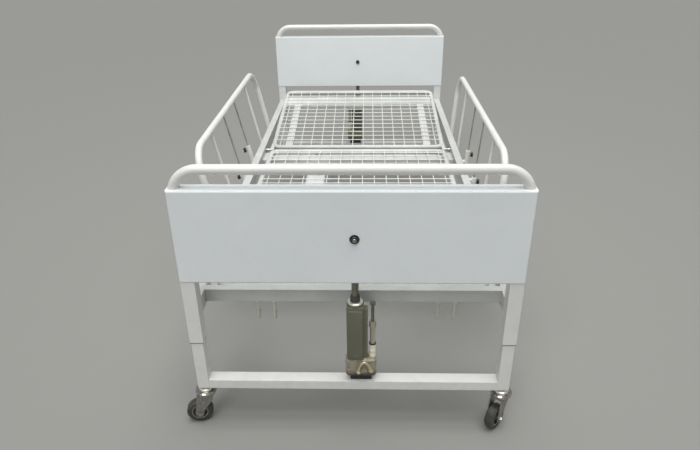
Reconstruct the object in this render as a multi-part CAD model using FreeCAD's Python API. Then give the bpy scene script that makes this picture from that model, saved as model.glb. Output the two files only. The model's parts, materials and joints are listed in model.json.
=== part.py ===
import FreeCAD, Part
import math
import os

# Height-adjustable hospital cot: two sheet-clad end frames on telescopic legs,
# a wire-mesh deck with a raising backrest, and a drop-side guard on each side.
# Millimetres. X is across, Y runs from the foot end to the head end, Z is up.
# The origin is on the floor at the middle of the cot.

V = FreeCAD.Vector

# ---------------------------------------------------------------- overall
overall_width = 950.0
overall_length = 2165.0
rest_fit = 0.3            # gap left where a curved face only rests on another
running_fit = 0.08        # radial play of a pin or rod in its bore

# ---------------------------------------------------------------- end frames
panel_bottom = 521.0
panel_top = 799.0
panel_thickness = 45.0
panel_skin = 1.5
panel_edge_radius = 5.0
sleeve_size = 40.0
sleeve_wall = 2.0
sleeve_bottom = 312.0
sleeve_set_back = 2.5     # from the panel's face to the sleeve
handle_tube = 28.0
handle_wall = 2.0
handle_top = 863.0
handle_bend = 71.0
bolt_height = 660.0
bolt_shank = 10.0
bolt_head = 21.0
bolt_head_height = 7.0
bolt_washer = 27.0
bolt_washer_thickness = 1.6

# ---------------------------------------------------------------- side rails
rail_width = 30.0
rail_depth = 50.0
rail_wall = 2.0
rail_rise = 15.0          # rail's top above the axis of the deck tubes
rail_inner_face = 435.0
rail_hanger_thickness = 4.0
rail_hanger_rise = 12.0   # hanger plate set down from the rail's top, and below its bottom
end_beam_depth = 25.0
end_beam_height = 40.0
end_beam_set_in = 84.0    # from the panel's face to the beam's outer face
deck_gap = 0.5            # between the end beams and the deck's end tubes
crossmember_depth = 28.0
crossmember_sheet = 2.5
crossmember_widths = (60.0, 60.0, 96.0)
crossmember_places = (-930.0, -400.0, 158.0)
lever_notch_width = 30.0
lever_notch_depth = 30.0

# ---------------------------------------------------------------- telescopic legs
leg_size = 35.0
leg_wall = 2.0
leg_bottom = 139.0
leg_top = 640.0
bush_flange = 2.0
bush_inset = 0.5
floor_beam_height = 30.0
floor_beam_depth = 40.0
floor_beam_wall = 2.0

# ---------------------------------------------------------------- lift unit
lift_offset = 10.0        # lift axis from the middle of the end frame
lift_pad_width = 60.0
lift_pad_depth = 26.0
lift_pad_height = 20.0
lift_pad_set_back = 7.0   # middle of the pad behind the lift axis
lift_base_width = 92.0
lift_base_depth = 38.0
lift_base_height = 65.0
lift_base_shift = 16.0    # middle of the base from the lift axis
lift_base_corner = 12.0
lift_base_underside = 10.0
lift_base_chamfer = 5.0
spool_diameter = 20.0
spool_proud = 4.0
spool_height = 26.0
spool_shift = 9.0
lift_body_width = 50.0
lift_body_depth = 42.0
lift_body_top = 438.0
lift_body_corner = 9.0
lift_cover_width = 40.0
lift_cover_depth = 3.0
lift_cover_margin = 10.0
lift_tie_width = 11.0
lift_tie_depth = 20.0
lift_collar_outer = 44.0
lift_collar_height = 12.0
gland_outer = 26.0
gland_height = 4.0
ram_diameter = 20.0
ram_bottom = 215.0
ram_eye_width = 30.0
ram_eye_height = 40.0
lift_bore_floor = 205.0
strut_offset = 50.0       # strut axis from the lift axis
strut_rod = 9.0
strut_rod_bottom = 199.0
strut_tube = 15.0
strut_tube_top = 362.0
strut_cup = 18.0
strut_cup_height = 46.0
strut_ring = 20.0
strut_ring_height = 3.0
strut_nut = 21.0
strut_nut_height = 18.0
strut_bore_floor = 195.0
strap_width = 16.0
strap_thickness = 4.0
strap_pad = 14.0
strap_set_down = 1.0      # strap's top below the rail's top

# ---------------------------------------------------------------- casters
wheel_diameter = 80.0
wheel_width = 28.0
wheel_chamfer = 5.0
hub_diameter = 54.0
hub_width = 23.0
hub_recess = 5.0
hub_rim = 5.0
hub_boss = 20.0
axle_diameter = 8.0
axle_head = 14.0
axle_head_height = 5.0
caster_trail = 27.0
fork_sheet = 3.0
fork_gap = 34.0
fork_crown_diameter = 58.0
fork_crown_top = 112.0
fork_front_drop = 22.0
fork_front_reach = 0.8    # share of the crown radius that the cheeks reach forwards
fork_front_taper = 0.55
fork_eye_rise_deg = 20.0
fork_eye_radius = 13.0
swivel_gap = 0.2
swivel_outer = 64.0
swivel_height = 13.0
stem_diameter = 24.0
stem_socket = 12.0
stem_length = 60.0
foot_left_swivel_deg = 80.0
foot_right_swivel_deg = 40.0
head_left_swivel_deg = -150.0
head_right_swivel_deg = 160.0

# ---------------------------------------------------------------- deck
deck_width = 820.0
deck_tube = 22.0
deck_wall = 1.5
deck_height = 430.0       # axis of the deck tubes and of the backrest hinge
deck_corner = 32.0
hinge_place = 217.5       # backrest hinge from the middle of the cot
seat_head_end = 192.0
wire_diameter = 4.0
wire_pitch_across = 49.5
wire_pitch_along = 43.6
wires_lengthwise = 16
first_backrest_wire = 85.6
backrest_length = 680.0   # hinge to the axis of the head tube
backrest_foot_tube = 24.0
backrest_rest_deg = 7.7
hinge_pin = 14.0
hinge_eye = 24.0
hinge_eye_width = 16.0
stiffener_place = 328.0
stiffener_width = 35.0
stiffener_height = 14.0
stiffener_sheet = 2.0
head_plate_start = 508.0
head_plate_end = 610.0
head_plate_flange = 14.0

# ---------------------------------------------------------------- backrest actuator
actuator_place = -183.0
actuator_width = 84.0
actuator_height = 60.0
actuator_foot_end = -425.0
actuator_head_end = 128.0
actuator_corner = 12.0
actuator_bore_depth = 260.0
actuator_rod = 20.0
lever_set_back_deg = 30.0 # lever angle with the backrest flat
lever_thickness = 8.0
lever_pin = 12.0
lever_slot_play = 2.2
lever_slot_end = 8.0
lever_rim = 9.0
rod_fork_gap = 9.0
rod_fork_cheek = 6.0
rod_fork_height = 26.0
rod_fork_length = 40.0

# ---------------------------------------------------------------- guards
left_guard_line = 491.0   # guard plane from the middle, at the rail's top
right_guard_line = 501.0
left_splay_deg = 12.3
right_splay_deg = 4.7
left_guard_rise = 262.0   # axis of the top tube above the rail's top
right_guard_rise = 235.0
guard_height = 335.0      # axis of the top tube above the axis of the bottom rail
guard_tube = 25.0
guard_wall = 1.5
guard_bottom_tube = 18.0
guard_bend = 100.0
guard_first_post = -551.0
guard_front_bar = 243.0   # the bars, rods and last post from the first post
guard_front_rod = 464.0
guard_rear_rod = 678.0
guard_rear_bar = 937.0
guard_last_post = 1187.0
guard_bar = 12.0
guard_rod = 7.0
holder_outer = 20.0
holder_above_knob = 17.0
holder_below_stub = 15.0
holder_stub = 16.0
left_stub_drop = 28.0     # stub's axis below the rail's top
right_stub_drop = 40.0
front_knob_rise = -21.0   # left-hand knob's axis above the rail's top
rear_knob_rise = 21.0
right_knob_drop = 26.0    # right-hand knobs below the left-hand ones
knob_diameter = 22.0
knob_length = 12.0
knob_flange = 11.5
knob_pin = 6.0
knob_waist = 14.0

# ---------------------------------------------------------------- bag hooks
hook_places = (-292.5, -243.0, 243.0, 292.5)
hook_wire = 6.0
hook_drop = 60.0
hook_bend = 9.0
hook_tip = 10.0
hook_washer = 20.0
hook_washer_thickness = 5.0

# ---------------------------------------------------------------- worked out
foot_face = -overall_length / 2
frame_axis_y = foot_face + sleeve_set_back + sleeve_size / 2
sleeve_axis_x = overall_width / 2 - panel_skin - sleeve_size / 2
sleeve_top = panel_top - panel_skin
handle_axis_x = overall_width / 2 - handle_tube / 2
beam_top = leg_bottom + floor_beam_height
rail_top = deck_height + rail_rise
rail_end = -foot_face - sleeve_set_back - sleeve_size
deck_bottom = deck_height - deck_tube / 2
actuator_top = deck_bottom - crossmember_depth
actuator_axis = actuator_top - actuator_height / 2
lever_reach = deck_height - actuator_axis      # drive pin below the hinge axis
lift_base_bottom = beam_top + lift_pad_height
lift_base_top = lift_base_bottom + lift_base_height
backrest_side_x = deck_width / 2 - deck_tube / 2
wire_level = deck_height + deck_tube / 2 - wire_diameter
seat_foot_end = foot_face + end_beam_set_in + end_beam_depth + deck_gap + deck_tube / 2
strut_rod_top = rail_top - strap_set_down - strap_thickness
fork_crown_under = fork_crown_top - fork_sheet
caster_swivel_deg = {"foot_left": foot_left_swivel_deg, "foot_right": foot_right_swivel_deg,
                     "head_left": head_left_swivel_deg, "head_right": head_right_swivel_deg}
guard_line = {"left": left_guard_line, "right": right_guard_line}
guard_splay_deg = {"left": left_splay_deg, "right": right_splay_deg}
guard_top = {"left": rail_top + left_guard_rise, "right": rail_top + right_guard_rise}
guard_last = guard_first_post + guard_last_post
guard_bar_places = (guard_first_post + guard_front_bar, guard_first_post + guard_rear_bar)
guard_rod_places = (guard_first_post + guard_front_rod, guard_first_post + guard_rear_rod)
left_knob_heights = (rail_top + front_knob_rise, rail_top + rear_knob_rise)
right_knob_heights = [height - right_knob_drop for height in left_knob_heights]
knob_heights = {"left": left_knob_heights, "right": right_knob_heights}
holder_stub_height = {"left": rail_top - left_stub_drop, "right": rail_top - right_stub_drop}


# ================================================================ helpers
def block(x, y, z):
    """Box between two limits on each axis."""
    corner = V(min(x), min(y), min(z))
    return Part.makeBox(abs(x[1] - x[0]), abs(y[1] - y[0]), abs(z[1] - z[0]), corner)


def rod(start, end, diameter):
    """Solid round bar between two points."""
    along = end - start
    return Part.makeCylinder(diameter / 2, along.Length, start, along)


def pipe(start, end, outer, inner):
    """Round tube between two points."""
    return rod(start, end, outer).cut(rod(start, end, inner))


def box_tube(x, y, z, wall, along):
    """Rectangular tube, open at both ends along one axis ("x", "y" or "z")."""
    limits = {"x": x, "y": y, "z": z}
    inner = {}
    for axis, (low, high) in limits.items():
        inner[axis] = (low, high) if axis == along else (low + wall, high - wall)
    return block(x, y, z).cut(block(inner["x"], inner["y"], inner["z"]))


def rounded_wire(points, radius, closed=False):
    """Straight runs through the points, with an arc of one radius at each corner."""
    count = len(points)
    corners = range(count) if closed else range(1, count - 1)
    entry = {n: points[n] for n in range(count)}
    leave = {n: points[n] for n in range(count)}
    arcs = {}
    for n in corners:
        before = (points[n - 1] - points[n]).normalize()
        after = (points[(n + 1) % count] - points[n]).normalize()
        half = before.getAngle(after) / 2
        reach = radius / math.tan(half)
        entry[n] = points[n] + before * reach
        leave[n] = points[n] + after * reach
        middle = (before + after).normalize()
        centre = points[n] + middle * (radius / math.sin(half))
        arcs[n] = Part.Arc(entry[n], centre - middle * radius, leave[n]).toShape()
    edges = []
    runs = count if closed else count - 1
    for n in range(runs):
        following = (n + 1) % count
        edges.append(Part.LineSegment(leave[n], entry[following]).toShape())
        if following in arcs:
            edges.append(arcs[following])
    return Part.Wire(edges)


def swept_bar(path, diameter):
    """Round bar along a wire."""
    start = path.Edges[0]
    begin = start.valueAt(start.FirstParameter)
    heading = start.tangentAt(start.FirstParameter)
    circle = Part.Face(Part.Wire([Part.makeCircle(diameter / 2, begin, heading)]))
    return path.makePipe(circle)


def bent_tube(path, outer, wall):
    """Round tube along a wire."""
    return swept_bar(path, outer).cut(swept_bar(path, outer - 2 * wall))


def plate(outline, thickness):
    """Flat plate from a closed wire, thickened along a vector."""
    return Part.Face(outline).extrude(thickness)


def turned(shape):
    """The same piece at the head end: half a turn about the vertical."""
    copy = shape.copy()
    copy.rotate(V(0, 0, 0), V(0, 0, 1), 180)
    return copy


def mirrored(shape):
    """The same piece on the other side of the cot."""
    return shape.mirror(V(0, 0, 0), V(1, 0, 0))


def turn_about_x(shape, height, place, degrees):
    """Turn a piece about a crosswise axis."""
    copy = shape.copy()
    copy.rotate(V(0, place, height), V(1, 0, 0), degrees)
    return copy


# ================================================================ end frames
def front_skin():
    """Pressed front tray: face with rounded edges and returns, notched at the ram."""
    middle = foot_face + panel_thickness / 2
    half = overall_width / 2
    shell = block((-half, half), (foot_face, middle), (panel_bottom, panel_top))
    face_edges = [e for e in shell.Edges if e.BoundBox.YMax < foot_face + panel_skin]
    shell = shell.makeFillet(panel_edge_radius, face_edges)
    hollow = block((-half + panel_skin, half - panel_skin), (foot_face + panel_skin, middle),
                   (panel_bottom + panel_skin, panel_top - panel_skin))
    shell = shell.cut([hollow, ram_clearance(), bolt_clearance()])
    return shell.cut(sleeve_notches(foot_face + sleeve_set_back, middle))


def rear_skin():
    """Flat rear tray with rounded edges and returns."""
    middle = foot_face + panel_thickness / 2
    back = foot_face + panel_thickness
    half = overall_width / 2
    shell = block((-half, half), (middle, back), (panel_bottom, panel_top))
    back_edges = [e for e in shell.Edges if e.BoundBox.YMin > back - panel_skin]
    shell = shell.makeFillet(panel_skin, back_edges)
    hollow = block((-half + panel_skin, half - panel_skin), (middle, back - panel_skin),
                   (panel_bottom + panel_skin, panel_top - panel_skin))
    shell = shell.cut([hollow, ram_clearance(), bolt_clearance()])
    return shell.cut(sleeve_notches(middle, back - sleeve_set_back))


def sleeve_notches(front, back):
    """Cut-outs in a tray's bottom return where the sleeves pass down."""
    notches = []
    for side in (-1, 1):
        inner = side * (sleeve_axis_x - sleeve_size / 2)
        outer = side * (overall_width / 2 - panel_skin)
        notches.append(block((inner, outer), (front, back), (panel_bottom, panel_bottom + panel_skin)))
    return notches


def ram_clearance():
    """Way for the ram through the panel's bottom returns."""
    base = V(lift_offset, frame_axis_y, panel_bottom - panel_skin)
    return Part.makeCylinder(gland_outer / 2, 3 * panel_skin, base)


def bolt_clearance():
    """Hole for the centre bolt through both skins and the ram's eye."""
    start = V(lift_offset, foot_face - panel_skin, bolt_height)
    end = V(lift_offset, foot_face + panel_thickness + panel_skin, bolt_height)
    return rod(start, end, bolt_shank + 2 * running_fit)


def centre_bolt():
    """Dome-headed bolt with its washer outside the panel and its nut inside."""
    axis = V(0, 1, 0)
    face = V(lift_offset, foot_face, bolt_height)
    back = V(lift_offset, foot_face + panel_thickness, bolt_height)
    washer = Part.makeCylinder(bolt_washer / 2, bolt_washer_thickness, face, -axis)
    seat = face - axis * bolt_washer_thickness
    head = Part.makeCylinder(bolt_head / 2, bolt_head_height, seat, -axis)
    crown = [e for e in head.Edges if e.BoundBox.YMax < seat.y - bolt_head_height / 2]
    head = head.makeFillet(bolt_head_height / 2, crown)
    shank = rod(seat, back + axis * bolt_head_height, bolt_shank)
    nut = Part.makePolygon([V(bolt_head / 2, 0, 0)] + [
        V(bolt_head / 2 * math.cos(math.radians(a)), 0, bolt_head / 2 * math.sin(math.radians(a)))
        for a in range(60, 361, 60)])
    nut.translate(back)
    nut = plate(nut, axis * bolt_head_height)
    return washer.fuse([head, shank, nut]).removeSplitter()


def sleeves():
    """Outer square tubes of the telescopic legs."""
    half = sleeve_size / 2
    made = []
    for side in (-1, 1):
        x = side * sleeve_axis_x
        made.append(box_tube((x - half, x + half), (frame_axis_y - half, frame_axis_y + half),
                             (sleeve_bottom, sleeve_top), sleeve_wall, "z"))
    return made


def sleeve_bushes():
    """Plastic guide flange under each sleeve."""
    half = sleeve_size / 2 - bush_inset
    hole = leg_size / 2 + rest_fit
    made = []
    for side in (-1, 1):
        x = side * sleeve_axis_x
        flange = block((x - half, x + half), (frame_axis_y - half, frame_axis_y + half),
                       (sleeve_bottom - bush_flange, sleeve_bottom))
        made.append(flange.cut(block((x - hole, x + hole), (frame_axis_y - hole, frame_axis_y + hole),
                                     (sleeve_bottom - bush_flange, sleeve_bottom))))
    return made


def handle():
    """Bent round tube over the panel, cut off where its bends meet the panel's top."""
    top = handle_top - handle_tube / 2
    low = top - 2 * handle_bend
    y = foot_face + panel_thickness / 2
    path = rounded_wire([V(-handle_axis_x, y, low), V(-handle_axis_x, y, top),
                         V(handle_axis_x, y, top), V(handle_axis_x, y, low)], handle_bend)
    below = block((-overall_width, overall_width), (foot_face, foot_face + panel_thickness), (0, panel_top))
    return bent_tube(path, handle_tube, handle_wall).cut(below)


def end_beam():
    """Rectangular tube between the side rails."""
    near = foot_face + end_beam_set_in
    return box_tube((-rail_inner_face, rail_inner_face), (near, near + end_beam_depth),
                    (rail_top - end_beam_height, rail_top), rail_wall, "x")


def strut_strap():
    """Bent strap from under the end beam to the top of the strut's rod."""
    near = foot_face + end_beam_set_in
    far = near + end_beam_depth
    under = rail_top - end_beam_height
    x = lift_offset + strut_offset - strap_width / 2
    front = frame_axis_y - strap_pad / 2
    bend = frame_axis_y + strap_pad / 2
    high = strut_rod_top
    low = under - strap_thickness
    outline = Part.makePolygon([V(x, front, high), V(x, bend, high), V(x, near, low), V(x, far, low),
                                V(x, far, under), V(x, near, under), V(x, bend, high + strap_thickness),
                                V(x, front, high + strap_thickness), V(x, front, high)])
    return plate(outline, V(strap_width, 0, 0))


def bag_hooks():
    """Round-wire hooks under the foot beam, each with a washer."""
    y = foot_face + end_beam_set_in + hook_washer / 2
    top = rail_top - end_beam_height
    made = []
    for place in hook_places:
        x = lift_offset + place
        low = top - hook_drop - hook_bend
        far = y + 2 * hook_bend + hook_wire / 2
        path = rounded_wire([V(x, y, top), V(x, y, low), V(x, far, low),
                             V(x, far, low + hook_tip + hook_bend)], hook_bend)
        hook = swept_bar(path, hook_wire)
        washer = Part.makeCylinder(hook_washer / 2, hook_washer_thickness,
                                   V(x, y, top - hook_washer_thickness))
        made.append(hook.fuse(washer).removeSplitter())
    return made


# ================================================================ side frame
def side_rail():
    """Right-hand side rail between the two end frames, with a hanger plate at each end."""
    x = (rail_inner_face, rail_inner_face + rail_width)
    reach = rail_end - rail_hanger_thickness
    rail = box_tube(x, (-reach, reach), (rail_top - rail_depth, rail_top), rail_wall, "y")
    z = (rail_top - rail_depth - rail_hanger_rise, rail_top - rail_hanger_rise)
    plates = [block(x, (side * reach, side * rail_end), z) for side in (-1, 1)]
    return rail.fuse(plates).removeSplitter()


def crossmembers():
    """Folded channels under the deck, from rail to rail."""
    top = deck_bottom
    made = []
    for place, width in zip(crossmember_places, crossmember_widths):
        y = (place - width / 2, place + width / 2)
        channel = block((-rail_inner_face, rail_inner_face), y, (top - crossmember_depth, top))
        inside = block((-rail_inner_face, rail_inner_face),
                       (y[0] + crossmember_sheet, y[1] - crossmember_sheet),
                       (top - crossmember_depth, top - crossmember_sheet))
        made.append(channel.cut(inside))
    half = lever_notch_width / 2
    head_edge = crossmember_places[-1] + crossmember_widths[-1] / 2
    notch = block((actuator_place - half, actuator_place + half),
                  (head_edge - lever_notch_depth, head_edge), (top - crossmember_depth, top))
    made[-1] = made[-1].cut(notch)
    return made


# ================================================================ lift units
def leg_pair():
    """Inner square tubes of the telescopic legs, closed at the foot for the caster."""
    half = leg_size / 2
    made = []
    for side in (-1, 1):
        x = side * sleeve_axis_x
        tube = box_tube((x - half, x + half), (frame_axis_y - half, frame_axis_y + half),
                        (leg_bottom, leg_top), leg_wall, "z")
        inner = half - leg_wall
        plug = block((x - inner, x + inner), (frame_axis_y - inner, frame_axis_y + inner),
                     (leg_bottom, leg_bottom + stem_length + leg_wall))
        socket = Part.makeCylinder(stem_socket / 2, stem_length, V(x, frame_axis_y, leg_bottom))
        made.append(tube.fuse(plug).cut(socket).removeSplitter())
    return made


def floor_beam():
    """Rectangular tube between the inner legs."""
    reach = sleeve_axis_x - leg_size / 2
    front = frame_axis_y - leg_size / 2
    return box_tube((-reach, reach), (front, front + floor_beam_depth), (leg_bottom, beam_top),
                    floor_beam_wall, "x")


def lift_base():
    """Cast foot of the lift unit: a rounded block with a boss, on a pad, drilled for ram and strut."""
    x = lift_offset + lift_base_shift
    half_w = lift_base_width / 2
    half_d = lift_base_depth / 2
    y = frame_axis_y
    body = block((x - half_w, x + half_w), (y - half_d, y + half_d), (lift_base_bottom, lift_base_top))
    uprights = [e for e in body.Edges if e.BoundBox.ZLength > lift_base_height / 2]
    body = body.makeFillet(lift_base_corner, uprights)
    middle = (lift_base_bottom + lift_base_top) / 2
    rims = [e for e in body.Edges if e.BoundBox.ZMin > middle]
    body = body.makeChamfer(lift_base_chamfer, rims)
    under = [e for e in body.Edges if e.BoundBox.ZMax < lift_base_bottom + lift_base_underside / 2]
    body = body.makeFillet(lift_base_underside, under)
    pad_y = y + lift_pad_set_back
    pad = block((x - lift_pad_width / 2, x + lift_pad_width / 2),
                (pad_y - lift_pad_depth / 2, pad_y + lift_pad_depth / 2), (beam_top, lift_base_bottom))
    boss = V(x + spool_shift, y - half_d - spool_proud, lift_base_bottom + spool_height)
    spool = rod(boss, boss + V(0, half_d, 0), spool_diameter)
    shape = body.fuse([pad, spool]).removeSplitter()
    return shape.cut([ram_bore(), strut_bore()])


def ram_bore():
    """Bore of the lift cylinder."""
    start = V(lift_offset, frame_axis_y, lift_bore_floor)
    end = V(lift_offset, frame_axis_y, lift_body_top + lift_collar_height + gland_height)
    return rod(start, end, ram_diameter + 2 * running_fit)


def strut_bore():
    """Bore of the guide strut."""
    x = lift_offset + strut_offset
    return rod(V(x, frame_axis_y, strut_bore_floor), V(x, frame_axis_y, strut_tube_top + strut_nut_height),
               strut_rod + 2 * running_fit)


def lift_cylinder():
    """Reservoir body with a raised cover, its tie bar, the collar and the gland."""
    y = frame_axis_y
    half_w = lift_body_width / 2
    half_d = lift_body_depth / 2
    body = block((lift_offset - half_w, lift_offset + half_w), (y - half_d, y + half_d),
                 (lift_base_top, lift_body_top))
    uprights = [e for e in body.Edges if e.BoundBox.ZLength > half_w]
    body = body.makeFillet(lift_body_corner, uprights)
    cover_half = lift_cover_width / 2
    low = lift_base_top + lift_cover_margin
    high = lift_body_top - lift_cover_margin
    front = y - half_d - lift_cover_depth
    left = V(lift_offset - cover_half, front, low + cover_half)
    right = V(lift_offset + cover_half, front, low + cover_half)
    bottom = V(lift_offset, front, low)
    top_left = V(lift_offset - cover_half, front, high)
    top_right = V(lift_offset + cover_half, front, high)
    outline = Part.Wire([Part.LineSegment(top_left, left).toShape(),
                         Part.Arc(left, bottom, right).toShape(),
                         Part.LineSegment(right, top_right).toShape(),
                         Part.LineSegment(top_right, top_left).toShape()])
    cover = plate(outline, V(0, 2 * lift_cover_depth, 0))
    tie_x = lift_offset + half_w
    tie = block((tie_x, tie_x + lift_tie_width), (y - lift_tie_depth / 2, y + lift_tie_depth / 2),
                (lift_base_top, lift_body_top - lift_cover_margin))
    axis = V(lift_offset, frame_axis_y, 0)
    collar_top = lift_body_top + lift_collar_height
    collar = rod(axis + V(0, 0, lift_body_top), axis + V(0, 0, collar_top), lift_collar_outer)
    gland = rod(axis + V(0, 0, collar_top), axis + V(0, 0, collar_top + gland_height), gland_outer)
    shape = body.fuse([cover, tie, collar, gland]).removeSplitter()
    return shape.cut(ram_bore())


def lift_strut():
    """Side strut on the base: cup, ring, tube and hexagon nut, bored for the strut's rod."""
    x = lift_offset + strut_offset
    axis = V(x, frame_axis_y, 0)
    cup_top = lift_base_top + strut_cup_height
    cup = rod(axis + V(0, 0, lift_base_top), axis + V(0, 0, cup_top), strut_cup)
    ring = rod(axis + V(0, 0, cup_top), axis + V(0, 0, cup_top + strut_ring_height), strut_ring)
    tube = rod(axis + V(0, 0, cup_top), axis + V(0, 0, strut_tube_top), strut_tube)
    corners = [V(strut_nut / 2 * math.cos(math.radians(a)), strut_nut / 2 * math.sin(math.radians(a)),
                 strut_tube_top) + axis for a in range(0, 361, 60)]
    nut = plate(Part.makePolygon(corners), V(0, 0, strut_nut_height))
    shape = cup.fuse([ring, tube, nut]).removeSplitter()
    return shape.cut(strut_bore())


def lift_ram():
    """Ram with its eye on the centre bolt, and the strut's rod on its strap."""
    axis = V(lift_offset, frame_axis_y, 0)
    eye_bottom = bolt_height - ram_eye_height / 2
    ram = rod(axis + V(0, 0, ram_bottom), axis + V(0, 0, eye_bottom), ram_diameter)
    half = ram_eye_width / 2
    eye = block((lift_offset - half, lift_offset + half),
                (foot_face + panel_skin, foot_face + panel_thickness - panel_skin),
                (eye_bottom, eye_bottom + ram_eye_height))
    ram = ram.fuse(eye).removeSplitter().cut(bolt_clearance())
    strut_axis = V(lift_offset + strut_offset, frame_axis_y, 0)
    strut = rod(strut_axis + V(0, 0, strut_rod_bottom), strut_axis + V(0, 0, strut_rod_top), strut_rod)
    return [ram, strut.fuse(strut_strap()).removeSplitter()]


# ================================================================ casters
def caster_heads():
    """Swivel head under each leg, on a stem that also carries the fork's crown."""
    made = []
    head_bottom = fork_crown_top + swivel_gap
    for side in (-1, 1):
        x = side * sleeve_axis_x
        base = V(x, frame_axis_y, head_bottom)
        race = Part.makeCylinder(swivel_outer / 2, swivel_height, base)
        rims = [e for e in race.Edges if e.BoundBox.ZLength < swivel_gap]
        race = race.makeChamfer(swivel_height / 4, rims)
        collar = rod(base, V(x, frame_axis_y, leg_bottom), stem_diameter)
        stem = rod(V(x, frame_axis_y, fork_crown_under),
                   V(x, frame_axis_y, leg_bottom + stem_length), stem_socket - 2 * running_fit)
        made.append(race.fuse([collar, stem]).removeSplitter())
    return made


def caster_fork():
    """Pressed fork about the swivel axis, with its wheel trailing along -Y, and the axle."""
    crown_half = fork_crown_diameter / 2
    axle = V(0, -caster_trail, wheel_diameter / 2)
    outer_half = fork_gap / 2 + fork_sheet
    crown = Part.makeCylinder(crown_half, fork_sheet, V(0, 0, fork_crown_under))
    front = V(-outer_half, crown_half * fork_front_reach, fork_crown_top)
    rear = V(-outer_half, -crown_half, fork_crown_top)
    front_low = V(-outer_half, crown_half * fork_front_taper, fork_crown_top - fork_front_drop)
    eye = axle + V(-outer_half, 0, 0)
    rise = math.radians(fork_eye_rise_deg)
    eye_front = eye + V(0, math.cos(rise), math.sin(rise)) * fork_eye_radius
    eye_low = eye + V(0, 0, -fork_eye_radius)
    eye_rear = eye + V(0, -math.cos(rise), math.sin(rise)) * fork_eye_radius
    outline = Part.Wire([Part.LineSegment(front, front_low).toShape(),
                         Part.LineSegment(front_low, eye_front).toShape(),
                         Part.Arc(eye_front, eye_low, eye_rear).toShape(),
                         Part.LineSegment(eye_rear, rear).toShape(),
                         Part.LineSegment(rear, front).toShape()])
    cheeks = plate(outline, V(2 * outer_half, 0, 0))
    room = block((-fork_gap / 2, fork_gap / 2), (-3 * crown_half, 2 * crown_half), (0, fork_crown_under))
    cheeks = cheeks.cut(room)
    bore = rod(axle - V(outer_half, 0, 0), axle + V(outer_half, 0, 0), axle_diameter)
    stem_hole = Part.makeCylinder(stem_socket / 2, fork_sheet, V(0, 0, fork_crown_under))
    fork = cheeks.fuse(crown).removeSplitter().cut([bore, stem_hole])
    pin = rod(axle - V(outer_half, 0, 0), axle + V(outer_half, 0, 0), axle_diameter)
    heads = []
    for side in (-1, 1):
        face = axle + V(side * outer_half, 0, 0)
        heads.append(Part.makeCylinder(axle_head / 2, axle_head_height, face, V(side, 0, 0)))
    return [fork, pin.fuse(heads).removeSplitter()]


def caster_wheel():
    """Tyre and hub, turned about the axle of an unturned caster."""
    axle = V(0, -caster_trail, wheel_diameter / 2)
    radius = wheel_diameter / 2
    half = wheel_width / 2
    rim = hub_diameter / 2

    def turn(outline):
        ring = Part.Face(Part.makePolygon([V(x, 0, r) for x, r in outline + outline[:1]]))
        ring.translate(axle)
        return ring.revolve(axle, V(1, 0, 0), 360)

    tyre = turn([(-half, rim), (-half, radius - wheel_chamfer), (wheel_chamfer - half, radius),
                 (half - wheel_chamfer, radius), (half, radius - wheel_chamfer), (half, rim)])
    web = hub_width / 2 - hub_recess
    boss = fork_gap / 2 - rest_fit
    bore = axle_diameter / 2 + running_fit
    hub = turn([(-boss, bore), (-boss, hub_boss / 2), (-web, hub_boss / 2), (-web, rim - hub_rim),
                (-hub_width / 2, rim - hub_rim), (-hub_width / 2, rim), (hub_width / 2, rim),
                (hub_width / 2, rim - hub_rim), (web, rim - hub_rim), (web, hub_boss / 2),
                (boss, hub_boss / 2), (boss, bore)])
    return [tyre, hub]


def placed_caster(shapes, corner):
    """Turn a caster on its swivel and set it under its leg."""
    end, side = corner.split("_")
    x = sleeve_axis_x if side == "right" else -sleeve_axis_x
    y = frame_axis_y if end == "foot" else -frame_axis_y
    made = []
    for shape in shapes:
        copy = shape.copy()
        copy.rotate(V(0, 0, 0), V(0, 0, 1), -caster_swivel_deg[corner])
        copy.translate(V(x, y, 0))
        made.append(copy)
    return made


# ================================================================ deck
def ring_path(start, end):
    """Closed rectangle of the deck tubes, on their axis."""
    x = backrest_side_x
    return rounded_wire([V(-x, start, deck_height), V(x, start, deck_height),
                         V(x, end, deck_height), V(-x, end, deck_height)], deck_corner, closed=True)


def mesh_wires(start, end, first):
    """Crossed wires of one deck section: lengthwise below, crosswise on top, butted on its tubes."""
    made = []
    lower = wire_level - wire_diameter / 2
    upper = lower + wire_diameter
    for n in range(wires_lengthwise):
        x = (n - (wires_lengthwise - 1) / 2) * wire_pitch_across
        made.append(rod(V(x, start, lower), V(x, end, lower), wire_diameter))
    y = first
    while y < end - deck_tube:
        made.append(rod(V(-backrest_side_x, y, upper), V(backrest_side_x, y, upper), wire_diameter))
        y += wire_pitch_along
    tube = swept_bar(ring_path(start, end), deck_tube)
    return [max(wire.cut(tube).Solids, key=lambda solid: solid.Volume) for wire in made]


def backrest_raised(shape):
    """Turn a flat backrest piece up to its rest position."""
    return turn_about_x(shape, deck_height, hinge_place, backrest_rest_deg)


def backrest_frame():
    """Tube frame of the backrest, with a hinge eye on each side."""
    foot = hinge_place + backrest_foot_tube
    frame = bent_tube(ring_path(foot, hinge_place + backrest_length), deck_tube, deck_wall)
    parts = [frame]
    for side in (-1, 1):
        outer = side * deck_width / 2
        inner = outer - side * hinge_eye_width
        eye = rod(V(inner, hinge_place, deck_height), V(outer, hinge_place, deck_height), hinge_eye)
        arm = block((inner, outer), (hinge_place, foot + deck_corner),
                    (deck_height - hinge_eye / 4, deck_height + hinge_eye / 4))
        parts += [eye, arm]
    shape = parts[0].fuse(parts[1:]).removeSplitter()
    hole = rod(V(-deck_width, hinge_place, deck_height), V(deck_width, hinge_place, deck_height),
               hinge_pin + 2 * running_fit)
    return backrest_raised(shape.cut(hole))


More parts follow.
